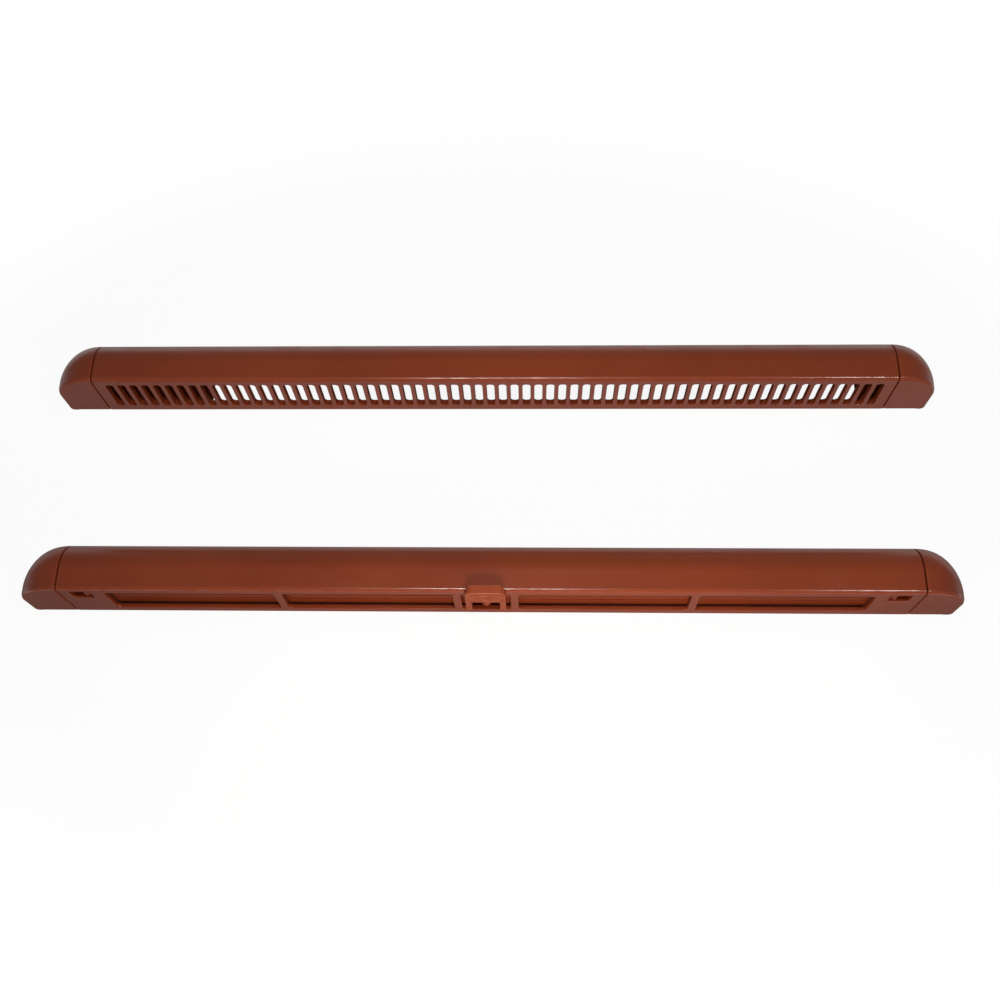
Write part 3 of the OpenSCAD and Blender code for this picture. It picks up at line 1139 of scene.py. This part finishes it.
@dataclass(frozen=True)
class Studio:
    """Camera, floor and light.

    Attributes:
        lens: Focal length, in millimetres.
        sensor: Width of the sensor, in millimetres.
        shift: Upward shift of the frame.
        clip: Nearest distance that shows.
        eye: Place of the camera.
        turn: Turn of the camera, in degrees.
        floor_size: Side of the floor.
        floor_drop: How far the floor lies under the set.
        floor_glow: Share of the floor near the set that shows as plain white.
        floor_near: Reach of that part of the floor along X and Y.
        floor_fade: Shares of that reach between which the floor turns all white.
        floor_bounce: Share of the light that the floor throws back on the set.
        floor_white: Share of the light that the floor throws back to the camera.
        sheen: How far the mirrored floor is as bright as that, in front and behind.
        sheen_places: Shares of the reach along Y between which it changes.
        room: Strength of the white room at the horizon and overhead.
        room_heights: Heights of view between which it changes.
        lamps: The lamps.
    """

    lens: float = 36.0
    sensor: float = 36.0
    shift: float = 0.15
    clip: float = 0.01
    eye: Point = (0.0197, -0.2183, 0.4085)
    turn: Point = (18.69, 1.62, 0.95)
    floor_size: float = 6.0
    floor_drop: float = 0.1 * MM
    floor_glow: float = 0.92
    floor_near: Span = (0.36, 0.24)
    floor_fade: Span = (0.6, 1.0)
    floor_bounce: float = 0.35
    floor_white: float = 0.95
    sheen: Span = (0.1, 0.75)
    sheen_places: Span = (-0.25, 0.1)
    room: Span = (0.32, 0.16)
    room_heights: Span = (0.05, 0.5)
    lamps: tuple[Lamp, ...] = (
        Lamp("overhead_panel", place=(0.02, 0.05, 0.30), aim=(0.02, 0.03, 0.0),
             size=(0.12, 0.10), power=0.16, glossy=False),
        Lamp("left_strip", place=(-0.015, -0.115, 0.52), aim=(0.0, 0.0, 0.02),
             size=(0.14, 0.05), power=0.95, glossy=True),
        Lamp("right_strip", place=(0.33, -0.115, 0.52), aim=(0.15, 0.0, 0.02),
             size=(0.11, 0.05), power=0.52, glossy=True),
        Lamp("front_panel", place=(0.03, -0.27, 0.10), aim=(0.03, -0.05, 0.01),
             size=(0.12, 0.05), power=0.52, glossy=False, tint=(1.0, 0.84, 0.68)),
    )

    def build(self) -> None:
        """Builds the stage."""
        scene = bpy.context.scene
        scene.view_settings.view_transform = "Standard"
        self._camera(scene)
        self._floor(scene)
        self._world(scene)
        for lamp in self.lamps:
            lamp.hang()

    def _camera(self, scene: bpy.types.Scene) -> None:
        """Places the camera.

        Args:
            scene: Scene that it looks at.
        """
        data = bpy.data.cameras.new("front_camera")
        data.sensor_width = self.sensor
        data.lens = self.lens
        data.shift_y = self.shift
        data.clip_start = self.clip
        camera = bpy.data.objects.new("front_camera", data)
        camera.location = self.eye
        camera.rotation_euler = Euler([math.radians(angle) for angle in self.turn])
        scene.collection.objects.link(camera)
        scene.camera = camera

    def _floor(self, scene: bpy.types.Scene) -> None:
        """Lays the pale floor.

        Args:
            scene: Scene that it is laid in.
        """
        bm = bmesh.new()
        bmesh.ops.create_grid(bm, x_segments=1, y_segments=1, size=self.floor_size / 2)
        bmesh.ops.translate(bm, vec=(0.0, 0.0, -self.floor_drop), verts=bm.verts)
        mesh = bpy.data.meshes.new("pale_floor")
        bm.to_mesh(mesh)
        bm.free()
        mesh.materials.append(self._floor_material())
        floor = bpy.data.objects.new("pale_floor", mesh)
        scene.collection.objects.link(floor)

    def _floor_material(self) -> bpy.types.Material:
        """Builds the floor's material, which shows white but keeps a soft shadow.

        Returns:
            The new material.
        """
        material = bpy.data.materials.new("pale_floor")
        material.use_nodes = True
        tree = material.node_tree
        tree.nodes.clear()
        pen = NodePen(tree)
        path = pen.add("ShaderNodeLightPath").outputs
        camera = path["Is Camera Ray"]
        mirrored = pen.math("MAXIMUM", path["Is Glossy Ray"], path["Is Transmission Ray"])
        place = pen.stretched((1 / self.floor_near[0], 1 / self.floor_near[1], 0.0))
        split = pen.add("ShaderNodeSeparateXYZ")
        pen.join(place, split.inputs[0])
        reach = pen.add("ShaderNodeVectorMath", operation="LENGTH")
        pen.join(place, reach.inputs[0])

        brighter = pen.span(split.outputs["Y"], *self.sheen_places, *self.sheen)
        plain = pen.math("MAXIMUM", camera, pen.math("MULTIPLY", mirrored, brighter))
        diffuse = pen.add("ShaderNodeBsdfDiffuse")
        colour = pen.span(plain, 0.0, 1.0, self.floor_bounce, self.floor_white)
        pen.join(colour, diffuse.inputs["Color"])

        far = pen.span(reach.outputs["Value"], *self.floor_fade)
        seen = pen.math("MULTIPLY", camera, pen.span(far, 0.0, 1.0, self.floor_glow))
        white = pen.math("MAXIMUM", seen, pen.math("MULTIPLY", mirrored, far))
        glow = pen.add("ShaderNodeEmission")
        self._mix(pen, white, diffuse, glow, pen.add("ShaderNodeOutputMaterial"))
        return material

    def _world(self, scene: bpy.types.Scene) -> None:
        """Surrounds the set with white that is dimmer overhead than at the horizon.

        Args:
            scene: Scene that it surrounds.
        """
        world = bpy.data.worlds.new("pale_room")
        world.use_nodes = True
        scene.world = world
        tree = world.node_tree
        tree.nodes.clear()
        pen = NodePen(tree)
        place = pen.add("ShaderNodeTexCoord")
        split = pen.add("ShaderNodeSeparateXYZ")
        pen.join(place.outputs["Generated"], split.inputs[0])
        room, white = (pen.add("ShaderNodeBackground") for _ in range(2))
        for node in (room, white):
            node.inputs["Color"].default_value = (*WHITE, 1.0)
        strength = pen.span(split.outputs["Z"], *self.room_heights, *self.room)
        pen.join(strength, room.inputs["Strength"])
        camera = pen.add("ShaderNodeLightPath").outputs["Is Camera Ray"]
        self._mix(pen, camera, room, white, pen.add("ShaderNodeOutputWorld"))

    @staticmethod
    def _mix(pen: NodePen, factor: bpy.types.NodeSocket, first: bpy.types.Node,
             second: bpy.types.Node, out: bpy.types.Node) -> None:
        """Mixes two shaders into an output node.

        Args:
            pen: Pen of the tree.
            factor: Share of the second shader.
            first: First shader.
            second: Second shader.
            out: Output node.
        """
        mix = pen.add("ShaderNodeMixShader")
        sources = (factor, first.outputs[0], second.outputs[0])
        for source, target in zip(sources, mix.inputs):
            pen.join(source, target)
        pen.join(mix.outputs[0], out.inputs["Surface"])


def main() -> None:
    """Builds the stage and the pieces in order."""
    logging.basicConfig(level=logging.INFO, format="%(name)s: %(message)s")
    Studio().build()
    finishes = Finishes()
    Canopy().dress(finishes)
    Vent().dress(finishes)
    Shutter().dress(finishes)


if __name__ == "__main__":
    main()
